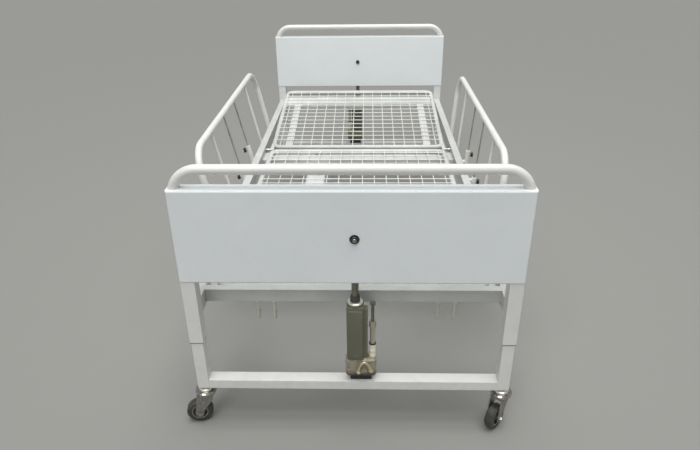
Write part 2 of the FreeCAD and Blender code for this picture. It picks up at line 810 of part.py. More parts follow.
def hinge_pins():
    """Pivot stubs from the side rails into the backrest's eyes."""
    made = []
    for side in (-1, 1):
        made.append(rod(V(side * rail_inner_face, hinge_place, deck_height),
                        V(side * (deck_width / 2 - hinge_eye_width), hinge_place, deck_height), hinge_pin))
    return made


def backrest_stiffeners():
    """Lengthwise channels under the backrest's wires."""
    made = []
    top = wire_level - wire_diameter
    foot = hinge_place + backrest_foot_tube + deck_tube / 2
    head = hinge_place + head_plate_start
    for side in (-1, 1):
        x = side * stiffener_place
        half = stiffener_width / 2
        channel = block((x - half, x + half), (foot, head), (top - stiffener_height, top))
        inside = block((x - half + stiffener_sheet, x + half - stiffener_sheet), (foot, head),
                       (top - stiffener_height, top - stiffener_sheet))
        made.append(backrest_raised(channel.cut(inside)))
    return made


def backrest_head_plate():
    """Folded cross plate between the side tubes, at the stiffeners' head ends."""
    x = backrest_side_x - deck_tube / 2
    top = wire_level - wire_diameter
    y = (hinge_place + head_plate_start, hinge_place + head_plate_end)
    channel = block((-x, x), y, (top - head_plate_flange, top))
    inside = block((-x, x), (y[0] + stiffener_sheet, y[1] - stiffener_sheet),
                   (top - head_plate_flange, top - stiffener_sheet))
    return backrest_raised(channel.cut(inside))


def lever_frame():
    """Directions down and across the lever, with the backrest flat."""
    angle = math.radians(lever_set_back_deg)
    down = V(0, -math.sin(angle), -math.cos(angle))
    return down, V(0, -down.z, down.y)


def backrest_lever():
    """Slotted drive lever under the backrest's foot tube."""
    down, across = lever_frame()
    hinge = V(actuator_place - lever_thickness / 2, hinge_place, deck_height)
    foot_tube = hinge + V(0, backrest_foot_tube, 0)
    slot_half = lever_pin / 2 + lever_slot_play
    nearest = lever_reach - lever_slot_end
    furthest = lever_reach / math.cos(math.radians(lever_set_back_deg)) + lever_slot_end
    half = slot_half + lever_rim
    tip = hinge + down * furthest
    low_front = tip - across * half
    low_rear = tip + across * half
    low_tip = tip + down * half
    root_front = foot_tube + V(0, -deck_tube, -deck_tube / 2)
    root_rear = foot_tube + V(0, deck_tube, -deck_tube / 2)
    outline = Part.Wire([Part.LineSegment(root_front, low_front).toShape(),
                         Part.Arc(low_front, low_tip, low_rear).toShape(),
                         Part.LineSegment(low_rear, root_rear).toShape(),
                         Part.LineSegment(root_rear, root_front).toShape()])
    shape = plate(outline, V(lever_thickness, 0, 0))
    slot_top = hinge + down * nearest
    slot_low = hinge + down * furthest
    side = across * slot_half
    end = down * slot_half
    slot = Part.Wire([Part.LineSegment(slot_top - side, slot_low - side).toShape(),
                      Part.Arc(slot_low - side, slot_low + end, slot_low + side).toShape(),
                      Part.LineSegment(slot_low + side, slot_top + side).toShape(),
                      Part.Arc(slot_top + side, slot_top - end, slot_top - side).toShape()])
    return backrest_raised(shape.cut(plate(slot, V(lever_thickness, 0, 0))))


def seat_frame():
    """Tube frame of the fixed deck section."""
    return bent_tube(ring_path(seat_foot_end, seat_head_end), deck_tube, deck_wall)


# ================================================================ actuator
def actuator_housing():
    """Cover of the backrest actuator, hung between two crossmembers, bored for the rod."""
    x = (actuator_place - actuator_width / 2, actuator_place + actuator_width / 2)
    cover = block(x, (actuator_foot_end, actuator_head_end), (actuator_top - actuator_height, actuator_top))
    long_edges = [e for e in cover.Edges if e.BoundBox.YLength > actuator_width]
    cover = cover.makeFillet(actuator_corner, long_edges)
    z = actuator_axis
    bore = rod(V(actuator_place, actuator_head_end - actuator_bore_depth, z),
               V(actuator_place, actuator_head_end, z), actuator_rod + 2 * running_fit)
    return cover.cut(bore)


def actuator_push_rod():
    """Push rod with a forked end and its cross pin in the lever's slot, at rest."""
    z = actuator_axis
    angle = math.radians(lever_set_back_deg - backrest_rest_deg)
    pin_y = hinge_place - lever_reach * math.tan(angle)
    neck = pin_y - rod_fork_length
    start = V(actuator_place, actuator_head_end - actuator_bore_depth + 2 * lever_rim, z)
    bar = rod(start, V(actuator_place, neck, z), actuator_rod)
    half = rod_fork_gap / 2 + rod_fork_cheek
    head = block((actuator_place - half, actuator_place + half), (neck, pin_y + rod_fork_height / 2),
                 (z - rod_fork_height / 2, z + rod_fork_height / 2))
    gap = block((actuator_place - rod_fork_gap / 2, actuator_place + rod_fork_gap / 2),
                (neck + rod_fork_cheek, pin_y + rod_fork_height), (z - rod_fork_height, z + rod_fork_height))
    pin = rod(V(actuator_place - half, pin_y, z), V(actuator_place + half, pin_y, z), lever_pin)
    return bar.fuse([head.cut(gap), pin]).removeSplitter()


# ================================================================ guards
def leaned(shape, side):
    """Lean an upright right-hand guard piece outwards by one side's splay."""
    copy = shape.copy()
    copy.rotate(V(guard_line[side], 0, rail_top), V(0, 1, 0), guard_splay_deg[side])
    return copy


def splayed(shape, side):
    """Leaned guard piece on its own side of the cot."""
    copy = leaned(shape, side)
    return mirrored(copy) if side == "left" else copy


def guard_frame(side):
    """Inverted U of round tube over the two end posts."""
    x = guard_line[side]
    high = guard_top[side]
    low = high - guard_height
    path = rounded_wire([V(x, guard_first_post, low), V(x, guard_first_post, high),
                         V(x, guard_last, high), V(x, guard_last, low)], guard_bend)
    return splayed(bent_tube(path, guard_tube, guard_wall), side)


def guard_uprights(side, places, diameter):
    """Round bars between the bottom rail and the top tube."""
    x = guard_line[side]
    high = guard_top[side] - guard_tube / 2
    low = guard_top[side] - guard_height + guard_bottom_tube / 2
    return [splayed(rod(V(x, y, low), V(x, y, high), diameter), side) for y in places]


def guard_bars(side):
    """Bottom rail between the posts and the two thin white bars."""
    x = guard_line[side]
    low = guard_top[side] - guard_height
    first = V(x, guard_first_post + guard_tube / 2, low)
    last = V(x, guard_last - guard_tube / 2, low)
    bottom = pipe(first, last, guard_bottom_tube, guard_bottom_tube - 2 * guard_wall)
    return [splayed(bottom, side)] + guard_uprights(side, guard_bar_places, guard_bar)


def guard_holders(side):
    """Guide barrels on stubs from the side rail, each with a boss for its knob."""
    made = []
    x = guard_line[side]
    stub_height = holder_stub_height[side]
    for y, knob_height in zip(guard_rod_places, knob_heights[side]):
        low = V(x, y, stub_height - holder_below_stub)
        high = V(x, y, knob_height + holder_above_knob)
        knob_axis = V(x, y, knob_height)
        face = knob_axis + V(knob_flange, 0, 0)
        barrel = leaned(rod(low, high, holder_outer).fuse(rod(knob_axis, face, knob_flange)), side)
        stub = rod(V(rail_inner_face + rail_width, y, stub_height), V(x, y, stub_height), holder_stub)
        bores = rod(low, high, guard_rod + 2 * running_fit)
        bores = bores.fuse(rod(knob_axis, face, knob_pin + 2 * running_fit))
        shape = barrel.fuse(stub).removeSplitter().cut(leaned(bores, side))
        made.append(mirrored(shape) if side == "left" else shape)
    return made


def guard_knob(side, number):
    """Pull knob on its plunger pin, outside the holder's boss."""
    y = guard_rod_places[number]
    height = knob_heights[side][number]
    face = guard_line[side] + knob_flange
    profile = [(face, 0), (face, knob_waist / 2), (face + knob_length / 4, knob_waist / 2),
               (face + knob_length / 2, knob_diameter / 2), (face + knob_length, knob_diameter / 2),
               (face + knob_length, 0), (face, 0)]
    outline = Part.Face(Part.makePolygon([V(x, y, height + r) for x, r in profile]))
    cap = outline.revolve(V(face, y, height), V(1, 0, 0), 360)
    tip = guard_line[side] + guard_rod / 2 + rest_fit
    pin = rod(V(tip, y, height), V(face, y, height), knob_pin)
    return splayed(cap.fuse(pin).removeSplitter(), side)


# ================================================================ assembly
def as_list(shape):
    return shape if isinstance(shape, list) else [shape]


def build_nodes():
    nodes = {
        "side_rail_right": side_rail(),
        "side_rail_left": mirrored(side_rail()),
        "deck_crossmembers": crossmembers(),
        "bag_hooks": bag_hooks(),
        "hinge_pins": hinge_pins(),
        "seat_frame": seat_frame(),
        "seat_wires": mesh_wires(seat_foot_end, seat_head_end, seat_foot_end + wire_pitch_along / 2),
        "backrest_frame": backrest_frame(),
        "backrest_stiffeners": backrest_stiffeners(),
        "backrest_head_plate": backrest_head_plate(),
        "backrest_lever": backrest_lever(),
        "actuator_housing": actuator_housing(),
        "actuator_push_rod": actuator_push_rod(),
    }
    wires = mesh_wires(hinge_place + backrest_foot_tube, hinge_place + backrest_length,
                       hinge_place + first_backrest_wire)
    nodes["backrest_wires"] = [backrest_raised(wire) for wire in wires]
    ends = {"panel_front": front_skin(), "panel_rear": rear_skin(), "handle": handle(),
            "sleeves": sleeves(), "end_beam": end_beam(), "lift_ram": lift_ram(), "legs": leg_pair(),
            "floor_beam": floor_beam(), "lift_base": lift_base(), "lift_cylinder": lift_cylinder(),
            "lift_strut": lift_strut(), "caster_heads": caster_heads()}
    for name, shapes in ends.items():
        nodes["foot_" + name] = as_list(shapes)
        nodes["head_" + name] = [turned(shape) for shape in as_list(shapes)]
    shared = {"sleeve_bushes": sleeve_bushes(), "centre_bolts": [centre_bolt()]}
    for name, shapes in shared.items():
        nodes[name] = shapes + [turned(shape) for shape in shapes]
    for corner in caster_swivel_deg:
        nodes[corner + "_caster_fork"] = placed_caster(caster_fork(), corner)
        nodes[corner + "_caster_wheel"] = placed_caster(caster_wheel(), corner)
    for side in guard_splay_deg:
        nodes[side + "_guard_frame"] = guard_frame(side)
        nodes[side + "_guard_bars"] = guard_bars(side)
        nodes[side + "_guard_rods"] = guard_uprights(side, guard_rod_places, guard_rod)
        nodes[side + "_guard_holders"] = guard_holders(side)
        nodes[side + "_front_knob"] = guard_knob(side, 0)
        nodes[side + "_rear_knob"] = guard_knob(side, 1)
    return nodes


os.makedirs("parts", exist_ok=True)
for node, made in build_nodes().items():
    Part.makeCompound(as_list(made)).exportStep("parts/" + node + ".step")
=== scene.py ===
import json
import math

import bmesh
import bpy
from mathutils import Matrix, Vector


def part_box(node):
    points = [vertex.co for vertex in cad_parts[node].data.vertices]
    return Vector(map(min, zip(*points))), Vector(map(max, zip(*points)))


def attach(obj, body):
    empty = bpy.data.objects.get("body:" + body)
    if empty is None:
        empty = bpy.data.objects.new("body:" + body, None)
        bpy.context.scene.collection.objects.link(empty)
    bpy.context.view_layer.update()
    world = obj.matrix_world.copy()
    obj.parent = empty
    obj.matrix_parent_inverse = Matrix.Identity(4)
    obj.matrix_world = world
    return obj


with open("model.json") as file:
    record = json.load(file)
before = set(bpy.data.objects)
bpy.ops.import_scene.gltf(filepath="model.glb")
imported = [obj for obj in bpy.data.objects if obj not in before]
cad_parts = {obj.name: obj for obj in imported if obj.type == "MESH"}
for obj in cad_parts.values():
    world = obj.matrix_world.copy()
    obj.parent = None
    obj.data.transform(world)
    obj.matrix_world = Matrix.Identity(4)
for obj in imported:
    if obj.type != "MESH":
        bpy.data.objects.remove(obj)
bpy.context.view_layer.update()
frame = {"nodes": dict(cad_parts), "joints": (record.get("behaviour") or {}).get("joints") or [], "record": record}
nodes = frame["nodes"]
joints = {joint["name"]: joint for joint in frame["joints"]}
scene = bpy.context.scene

HALF_TURN = math.pi
QUARTER_TURN = math.pi / 2
ENDS = {"foot": 0.0, "head": HALF_TURN}         # turn of each end's fittings about the cot's middle
CORNERS = ("foot_left", "foot_right", "head_left", "head_right")


# ---------------------------------------------------------------- camera
PHOTO_WIDTH = 700                               # pixels
FOCAL_PIXELS = 606.3
SENSOR_MM = 36.0
CAMERA_PLACE = Vector((0.0414, -2.4828, 1.4276))
PITCH = math.radians(27.355)
YAW = math.radians(1.742)
ROLL = math.radians(-0.706)
FARTHEST_SEEN = 60.0


def make_camera():
    """Camera beyond the foot end, at a standing person's height, looking down along the cot."""
    data = bpy.data.cameras.new("camera")
    data.sensor_width = SENSOR_MM
    data.lens = SENSOR_MM * FOCAL_PIXELS / PHOTO_WIDTH
    data.clip_end = FARTHEST_SEEN
    camera = bpy.data.objects.new("camera", data)
    scene.collection.objects.link(camera)
    level_part = math.cos(PITCH)
    forward = Vector((-math.sin(YAW) * level_part, math.cos(YAW) * level_part, -math.sin(PITCH)))
    level = forward.cross(Vector((0.0, 0.0, 1.0))).normalized()
    above = level.cross(forward)
    right = level * math.cos(ROLL) + above * math.sin(ROLL)
    up = right.cross(forward)
    turn = Matrix((right, up, -forward)).transposed().to_4x4()
    camera.matrix_world = Matrix.Translation(CAMERA_PLACE) @ turn
    scene.camera = camera


# ---------------------------------------------------------------- shader nodes
MIX_FROM, MIX_TO, MIX_RESULT = 6, 7, 2          # colour sockets of the Mix node
EDGE_SAMPLES = 4
EDGE_START, EDGE_FULL = 0.01, 0.12              # 1 - cosine of the rounded normal's lean


class Shader:
    """Principled material under construction, with its noises in the object's own coordinates."""

    def __init__(self, name):
        self.material = bpy.data.materials.new(name)
        self.material.use_nodes = True
        self.tree = self.material.node_tree
        self.tree.nodes.clear()
        self.surface = self.add("BsdfPrincipled")
        self.add("OutputMaterial", {"Surface": self.surface.outputs[0]})
        self.place = self.add("TexCoord").outputs["Object"]

    def feed(self, node, inputs):
        """Give each of a node's inputs its value, or link it to another node's output."""
        for key, value in inputs.items():
            if isinstance(value, bpy.types.NodeSocket):
                self.tree.links.new(value, node.inputs[key])
            else:
                node.inputs[key].default_value = value

    def add(self, kind, inputs=None, **settings):
        """New node with its settings and inputs."""
        node = self.tree.nodes.new("ShaderNode" + kind)
        for key, value in settings.items():
            setattr(node, key, value)
        self.feed(node, inputs or {})
        return node

    def noise(self, scale, detail=3.0, roughness=0.5, stretch=None):
        """Noise value round 0.5; stretch scales the axes before it."""
        place = self.place
        if stretch:
            place = self.add("Mapping", {"Vector": place, "Scale": stretch}).outputs[0]
        inputs = {"Vector": place, "Scale": scale, "Detail": detail, "Roughness": roughness}
        return self.add("TexNoise", inputs).outputs["Fac"]

    def ramp(self, value, low, high):
        """Value stretched so that low gives 0 and high gives 1."""
        inputs = {"Value": value, "From Min": low, "From Max": high}
        return self.add("MapRange", inputs, clamp=True).outputs[0]

    def span(self, value, start, end):
        """Value from 0 to 1 turned into one from start to end."""
        inputs = {"Value": value, "To Min": start, "To Max": end}
        return self.add("MapRange", inputs, clamp=True).outputs[0]

    def patches(self, scale, detail, start, full, roughness=0.5):
        """Noise made into patches: 0 up to start, 1 from full."""
        return self.ramp(self.noise(scale, detail, roughness), start, full)

    def times(self, a, b):
        """Product of two values or outputs."""
        return self.add("Math", {0: a, 1: b}, operation="MULTIPLY").outputs[0]

    def inverse(self, value):
        """What is left of 1."""
        return self.add("Math", {0: 1.0, 1: value}, operation="SUBTRACT").outputs[0]

    def below(self, full, gone):
        """1 up to the height full, fading to 0 at the height gone."""
        height = self.add("SeparateXYZ", {"Vector": self.place}).outputs["Z"]
        return self.inverse(self.ramp(height, full, gone))

    def mix(self, factor, start, end):
        """Colour from start to end; each is a colour or an output."""
        inputs = {"Factor": factor}
        for key, value in ((MIX_FROM, start), (MIX_TO, end)):
            inputs[key] = (*value, 1.0) if isinstance(value, tuple) else value
        return self.add("Mix", inputs, data_type="RGBA").outputs[MIX_RESULT]

    def bump(self, height, depth, strength, normal=None):
        """Relief of that depth, laid over a normal if one is given."""
        inputs = {"Height": height, "Distance": depth, "Strength": strength}
        if normal:
            inputs["Normal"] = normal
        return self.add("Bump", inputs).outputs[0]

    def edges(self, radius):
        """Normal rounded off over the edges, and a mask that is 1 on them."""
        rounded = self.add("Bevel", {"Radius": radius}, samples=EDGE_SAMPLES).outputs[0]
        flat = self.add("NewGeometry").outputs["Normal"]
        cosine = self.add("VectorMath", {0: rounded, 1: flat}, operation="DOT_PRODUCT").outputs["Value"]
        return rounded, self.ramp(self.inverse(cosine), EDGE_START, EDGE_FULL)

    def finish(self, colour, roughness, normal, metallic=0.0):
        """The material, once its surface is fed."""
        inputs = {"Base Color": colour, "Roughness": roughness, "Normal": normal, "Metallic": metallic}
        self.feed(self.surface, inputs)
        return self.material


# ---------------------------------------------------------------- kinds of material
CLOUDS = dict(scale=6.0, detail=4.0, start=0.30, full=0.70)
SPECKS = dict(scale=260.0, detail=2.0, roughness=0.60, start=0.70, full=0.78)
DUST = dict(scale=22.0, detail=6.0, roughness=0.65, start=0.52, full=0.80)
SPLASHES = dict(scale=38.0, detail=6.0, roughness=0.70, start=0.38, full=0.72)
CHIPS = dict(scale=75.0, detail=5.0, roughness=0.70, full=0.62)
CHIPS_START = 0.56                              # for a coat that isn't worn
CHIPS_SPREAD = 0.20                             # taken off the start by full wear
SPECK_DIRT, DUST_DIRT, SPLASH_DIRT = 0.35, 0.18, 0.18
SPLASH_FULL, SPLASH_GONE = 0.10, 0.34           # heights
FOLD_RADIUS = 0.0016
GLOSS_CHANGE = dict(scale=14.0, detail=5.0)
ORANGE_PEEL = dict(scale=900.0, detail=2.0)
PEEL_DEPTH, PEEL_STRENGTH = 0.0004, 0.18

STREAKS = dict(scale=120.0, detail=3.0, roughness=0.60)
STREAKS_START, STREAKS_FULL = 0.30, 0.70
STREAK_DEPTH, STREAK_STRENGTH = 0.0006, 0.25
TARNISH = dict(scale=30.0, detail=6.0, roughness=0.70, start=0.40, full=0.75)
TARNISH_COVER = 0.60
# Painted shade at the foot of a metal part: how much it covers, and its colour.
LOW_SHADE_COVER = 0.85
LOW_SHADE_COLOUR = (0.035, 0.033, 0.026)

RUBBER_DUST = dict(scale=55.0, detail=6.0, roughness=0.70, start=0.42, full=0.75)
RUBBER_DUST_COVER = 0.60
RUBBER_CLEAN, RUBBER_DUSTY = 0.45, 0.85         # surface roughness
RUBBER_PITS = 420.0
PIT_DEPTH, PIT_STRENGTH = 0.0006, 0.40


def paint(name, light, dark, grime, gloss=(0.28, 0.42), dirt=1.0, wear=0.5):
    """Powder coat with orange peel: faint clouds, specks and dust, worn edges, and splashes low down."""
    s = Shader(name)
    rounded, edge = s.edges(FOLD_RADIUS)
    chips = s.patches(start=CHIPS_START - CHIPS_SPREAD * wear, **CHIPS)
    splashes = s.times(s.below(SPLASH_FULL, SPLASH_GONE), s.patches(**SPLASHES))
    colour = s.mix(s.patches(**CLOUDS), light, dark)
    colour = s.mix(s.times(s.patches(**SPECKS), SPECK_DIRT * dirt), colour, grime)
    colour = s.mix(s.times(s.patches(**DUST), DUST_DIRT * dirt), colour, grime)
    colour = s.mix(s.times(s.times(edge, chips), wear), colour, grime)
    colour = s.mix(s.times(splashes, SPLASH_DIRT), colour, grime)
    roughness = s.span(s.noise(**GLOSS_CHANGE), *gloss)
    peel = s.bump(s.noise(**ORANGE_PEEL), PEEL_DEPTH, PEEL_STRENGTH, rounded)
    return s.finish(colour, roughness, peel)


def bare_metal(name, light, dark, gloss, grain=None, metallic=1.0, painted_low_shade=None):
    """Metal with streaks and tarnish, darkened at its foot by painted shade up to the heights given last: where
    that shade is full, and where it ends.
    """
    s = Shader(name)
    streaks = s.noise(stretch=grain, **STREAKS)
    colour = s.mix(s.ramp(streaks, STREAKS_START, STREAKS_FULL), light, dark)
    colour = s.mix(s.times(s.patches(**TARNISH), TARNISH_COVER), colour, dark)
    # Painted shade: the metal darkened towards its foot.
    if painted_low_shade:
        colour = s.mix(s.times(s.below(*painted_low_shade), LOW_SHADE_COVER), colour, LOW_SHADE_COLOUR)
    relief = s.bump(streaks, STREAK_DEPTH, STREAK_STRENGTH)
    return s.finish(colour, s.span(streaks, *gloss), relief, metallic)


def rubber(name, base, dusty):
    """Black rubber or plastic with fine pits, dull where it is dusty."""
    s = Shader(name)
    dust = s.patches(**RUBBER_DUST)
    colour = s.mix(s.times(dust, RUBBER_DUST_COVER), base, dusty)
    pits = s.bump(s.noise(RUBBER_PITS), PIT_DEPTH, PIT_STRENGTH)
    return s.finish(colour, s.span(dust, RUBBER_CLEAN, RUBBER_DUSTY), pits)


# ---------------------------------------------------------------- the cot's materials
UPRIGHT_GRAIN = (1.0, 1.0, 0.1)                 # streaks ten times as long upright as across
PAINTS = {
    "panel_paint": dict(
        light=(0.76, 0.795, 0.80), dark=(0.73, 0.765, 0.77), grime=(0.42, 0.43, 0.42),
        dirt=0.35, wear=0.35),
    "frame_paint": dict(
        light=(0.715, 0.715, 0.69), dark=(0.665, 0.665, 0.64), grime=(0.33, 0.32, 0.28)),
    # Darker paint for the deck pieces; on the end beams its darkness is painted shade under the end panels.
    "deck_paint": dict(
        light=(0.56, 0.57, 0.545), dark=(0.45, 0.46, 0.44), grime=(0.26, 0.255, 0.22), gloss=(0.36, 0.52)),
    "wire_paint": dict(
        light=(0.70, 0.71, 0.67), dark=(0.60, 0.61, 0.57), grime=(0.34, 0.33, 0.29)),
    "cylinder_paint": dict(
        light=(0.140, 0.143, 0.098), dark=(0.105, 0.108, 0.074), grime=(0.27, 0.26, 0.20),
        gloss=(0.30, 0.50), wear=0.9),
    "hook_coat": dict(
        light=(0.60, 0.58, 0.49), dark=(0.50, 0.48, 0.40), grime=(0.30, 0.27, 0.20)),
    "housing_plastic": dict(
        light=(0.62, 0.63, 0.62), dark=(0.55, 0.56, 0.55), grime=(0.30, 0.29, 0.26), gloss=(0.40, 0.60)),
    "cream": dict(
        light=(0.92, 0.87, 0.74), dark=(0.74, 0.68, 0.54), grime=(0.28, 0.22, 0.14), gloss=(0.30, 0.50)),
}
METALS = {
    "ram_steel": dict(
        light=(0.27, 0.26, 0.21), dark=(0.10, 0.095, 0.075), gloss=(0.30, 0.60),
        grain=UPRIGHT_GRAIN, metallic=0.5),
    "casting": dict(
        light=(0.40, 0.37, 0.28), dark=(0.24, 0.215, 0.16), gloss=(0.45, 0.75),
        # The casting's bottom is darkened as painted shade, full up to 0.196 m and gone at 0.214 m.
        metallic=0.3, painted_low_shade=(0.196, 0.214)),
    "strut_metal": dict(
        light=(0.64, 0.60, 0.50), dark=(0.38, 0.35, 0.28), gloss=(0.30, 0.55),
        grain=UPRIGHT_GRAIN, metallic=0.7),
    "chrome": dict(light=(0.66, 0.65, 0.62), dark=(0.30, 0.29, 0.26), gloss=(0.10, 0.32)),
    "fork_steel": dict(light=(0.46, 0.45, 0.42), dark=(0.27, 0.26, 0.24), gloss=(0.35, 0.60)),
    "zinc": dict(light=(0.50, 0.50, 0.48), dark=(0.28, 0.27, 0.25), gloss=(0.25, 0.50)),
    "rod_steel": dict(
        light=(0.66, 0.65, 0.61), dark=(0.40, 0.39, 0.36), gloss=(0.28, 0.50), grain=UPRIGHT_GRAIN),
    "polished": dict(light=(0.92, 0.89, 0.80), dark=(0.70, 0.67, 0.58), gloss=(0.16, 0.32), metallic=0.6),
    "brass": dict(light=(0.80, 0.71, 0.52), dark=(0.50, 0.42, 0.28), gloss=(0.28, 0.50), metallic=0.7),
    "bolt_steel": dict(
        light=(0.10, 0.10, 0.095), dark=(0.03, 0.03, 0.028), gloss=(0.18, 0.36), metallic=0.8),
}
RUBBERS = {
    "wiper_rubber": dict(base=(0.040, 0.040, 0.032), dusty=(0.13, 0.125, 0.10)),
    "black_plastic": dict(base=(0.012, 0.012, 0.012), dusty=(0.05, 0.05, 0.045)),
    "caster_rubber": dict(base=(0.030, 0.029, 0.026), dusty=(0.13, 0.12, 0.10)),
}
# Pieces in the darker deck paint; for the end beams this darker paint is painted shade.
DULL_AND_SHADED_NODES = ("backrest_frame", "backrest_head_plate", "backrest_stiffeners", "seat_frame",
              "deck_crossmembers", "foot_end_beam", "head_end_beam", "side_rail_left", "side_rail_right")
OTHER_FINISH = {**{name: "deck_paint" for name in DULL_AND_SHADED_NODES}, "centre_bolts": "bolt_steel"}


def make_materials():
    """Every material of the cot, by name."""
    made = {}
    for make, looks in ((paint, PAINTS), (bare_metal, METALS), (rubber, RUBBERS)):
        made.update({name: make(name, **look) for name, look in looks.items()})
    return made


def dress_nodes():
    """Give each CAD piece the finish of its slot in the record, or one that is duller or darker; on the end beams
    that darker paint is painted shade.
    """
    for part in frame["record"]["subparts"]:
        finish = OTHER_FINISH.get(part["node"], part["material_slot"])
        for slot in nodes[part["node"]].material_slots:
            slot.material = finishes[finish]


# ---------------------------------------------------------------- making and placing a fitting
CREASE_DEG = 35.0
SOFT_CREASE_DEG = 60.0
ROUND_STEPS = 48
HEXAGON = 6
AXIS_RADIUS = 0.0001                            # where a profile reaches its own axis
PIPE_STEPS, PIPE_SIDE_STEPS = 10, 5
BLOCK_STEPS = 4


def keep(name, mesh, finish, body, turn=0.0, crease=CREASE_DEG):
    """Mesh made into a piece that rides on a body, turned about the cot's middle."""
    mesh.name = name
    mesh.transform(Matrix.Rotation(turn, 4, "Z"))
    mesh.materials.append(finishes[finish])
    mesh.shade_smooth()
    mesh.set_sharp_from_angle(angle=math.radians(crease))
    piece = bpy.data.objects.new(name, mesh)
    scene.collection.objects.link(piece)
    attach(piece, body)


def mesh_of(made):
    """Mesh of a finished bmesh."""
    mesh = bpy.data.meshes.new("fitting")
    made.to_mesh(mesh)
    made.free()
    return mesh


def lathe(profile, place=(0.0, 0.0, 0.0), steps=ROUND_STEPS):
    """Closed profile of (radius, height) points, turned about the upright axis through place."""
    made = bmesh.new()
    angles = [2 * math.pi * step / steps for step in range(steps)]
    rings = [[made.verts.new((place[0] + radius * math.cos(angle), place[1] + radius * math.sin(angle),
                              place[2] + height)) for angle in angles] for radius, height in profile]
    for low, high in zip(rings, rings[1:] + rings[:1]):
        for step in range(steps):
            after = (step + 1) % steps
            made.faces.new((low[step], low[after], high[after], high[step]))
    bmesh.ops.recalc_face_normals(made, faces=made.faces)
    return mesh_of(made)


def bent_pipe(points, radius):
    """Smooth round pipe through points, with capped ends."""
    curve = bpy.data.curves.new("pipe", "CURVE")
    curve.dimensions = "3D"
    curve.bevel_depth = radius
    curve.bevel_resolution = PIPE_SIDE_STEPS
    curve.resolution_u = PIPE_STEPS
    curve.use_fill_caps = True
    spline = curve.splines.new("BEZIER")
    spline.bezier_points.add(len(points) - 1)
    for knot, place in zip(spline.bezier_points, points):
        knot.co = place
        knot.handle_left_type = knot.handle_right_type = "AUTO"
    source = bpy.data.objects.new("pipe", curve)
    mesh = bpy.data.meshes.new_from_object(source)
    bpy.data.objects.remove(source)
    bpy.data.curves.remove(curve)
    return mesh


def soft_block(low, high, rounding, bulge):
    """Block with rounded edges, its sides swelling by bulge at mid height."""
    made = bmesh.new()
    size = high - low
    bmesh.ops.create_cube(made, size=1.0)
    bmesh.ops.scale(made, vec=size, verts=made.verts)
    bmesh.ops.bevel(made, geom=list(made.edges), offset=rounding, segments=BLOCK_STEPS, profile=0.5,
                    affect="EDGES")
    for vert in made.verts:
        swell = 1.0 - (2.0 * vert.co.z / size.z) ** 2
        reach = Vector((vert.co.x, vert.co.y, 0.0))
        if reach.length:
            vert.co += reach.normalized() * bulge * swell
        vert.co += (low + high) / 2
    return mesh_of(made)


# ---------------------------------------------------------------- lift unit, laid out at the foot end
LIFT_X = 0.010                                  # the ram's axis, to the right of the middle
FRAME_Y = joints["foot_left_swivel"]["pos_m"][1]
GLAND_HEIGHT = 0.004
LIFT_SEAT = Vector((LIFT_X, FRAME_Y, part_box("foot_floor_beam")[1].z))
COLLAR_TOP = Vector((LIFT_X, FRAME_Y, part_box("foot_lift_cylinder")[1].z - GLAND_HEIGHT))
strut_low, strut_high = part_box("foot_lift_strut")
STRUT_FOOT = Vector(((strut_low.x + strut_high.x) / 2, FRAME_Y, strut_low.z))


def fit_collar(end, turn):
    """Bright ring, dished towards its rim, and the ribbed wiper that stands in it round the ram."""
    ring = [(0.0138, 0.0), (0.0138, 0.0012), (0.0205, 0.0012), (0.0221, 0.0), (0.0224, -0.0030),
            (0.0221, -0.0040), (0.0138, -0.0010)]
    wiper = [(0.0104, 0.0), (0.0104, 0.0200), (0.0120, 0.0212), (0.0126, 0.0190), (0.0122, 0.0165),
             (0.0138, 0.0145), (0.0140, 0.0115), (0.0128, 0.0098), (0.0142, 0.0075), (0.0143, 0.0045),
             (0.0131, 0.0030), (0.0134, 0.0005)]
    body = end + "_leg_frame"
    keep(end + "_collar_ring", lathe(ring, COLLAR_TOP), "polished", body, turn)
    keep(end + "_ram_wiper", lathe(wiper, COLLAR_TOP), "wiper_rubber", body, turn, SOFT_CREASE_DEG)


WASHER_RISE = 0.0460                            # above the strut's foot


def fit_strut(end, turn):
    """Black washer, and below it the cream fitting with two grooves."""
    washer = [(0.0078, 0.0), (0.0100, -0.0002), (0.0105, 0.0006), (0.0105, 0.0026), (0.0100, 0.0036),
              (0.0078, 0.0034)]
    fitting = [(0.0085, 0.0005), (0.0098, 0.0005), (0.0100, 0.0020), (0.0100, 0.0125), (0.0094, 0.0140),
               (0.0094, 0.0160), (0.0101, 0.0175), (0.0101, 0.0310), (0.0095, 0.0322), (0.0095, 0.0345),
               (0.0100, 0.0355), (0.0100, 0.0445), (0.0096, 0.0455), (0.0085, 0.0455)]
    body = end + "_leg_frame"
    washer_place = STRUT_FOOT + Vector((0.0, 0.0, WASHER_RISE))
    keep(end + "_strut_washer", lathe(washer, washer_place), "black_plastic", body, turn)
    keep(end + "_strut_fitting", lathe(fitting, STRUT_FOOT), "cream", body, turn)


# Places from the lift unit's seat.
PIPE_ROUTE = ((0.0086, -0.0215, 0.0370), (0.0100, -0.0262, 0.0530), (0.0162, -0.0272, 0.0720),
              (0.0250, -0.0275, 0.0810), (0.0345, -0.0272, 0.0750), (0.0425, -0.0262, 0.0590),
              (0.0456, -0.0215, 0.0430))
NUT_PLACES = ((0.0090, -0.0252, 0.0430), (0.0450, -0.0252, 0.0490))
PIPE_RADIUS = 0.0042
NUT_RADIUS = 0.0068
NUT_HALF = 0.0035
NUT_CHAMFER = (0.0006, 0.0007)                  # off the radius and off the height


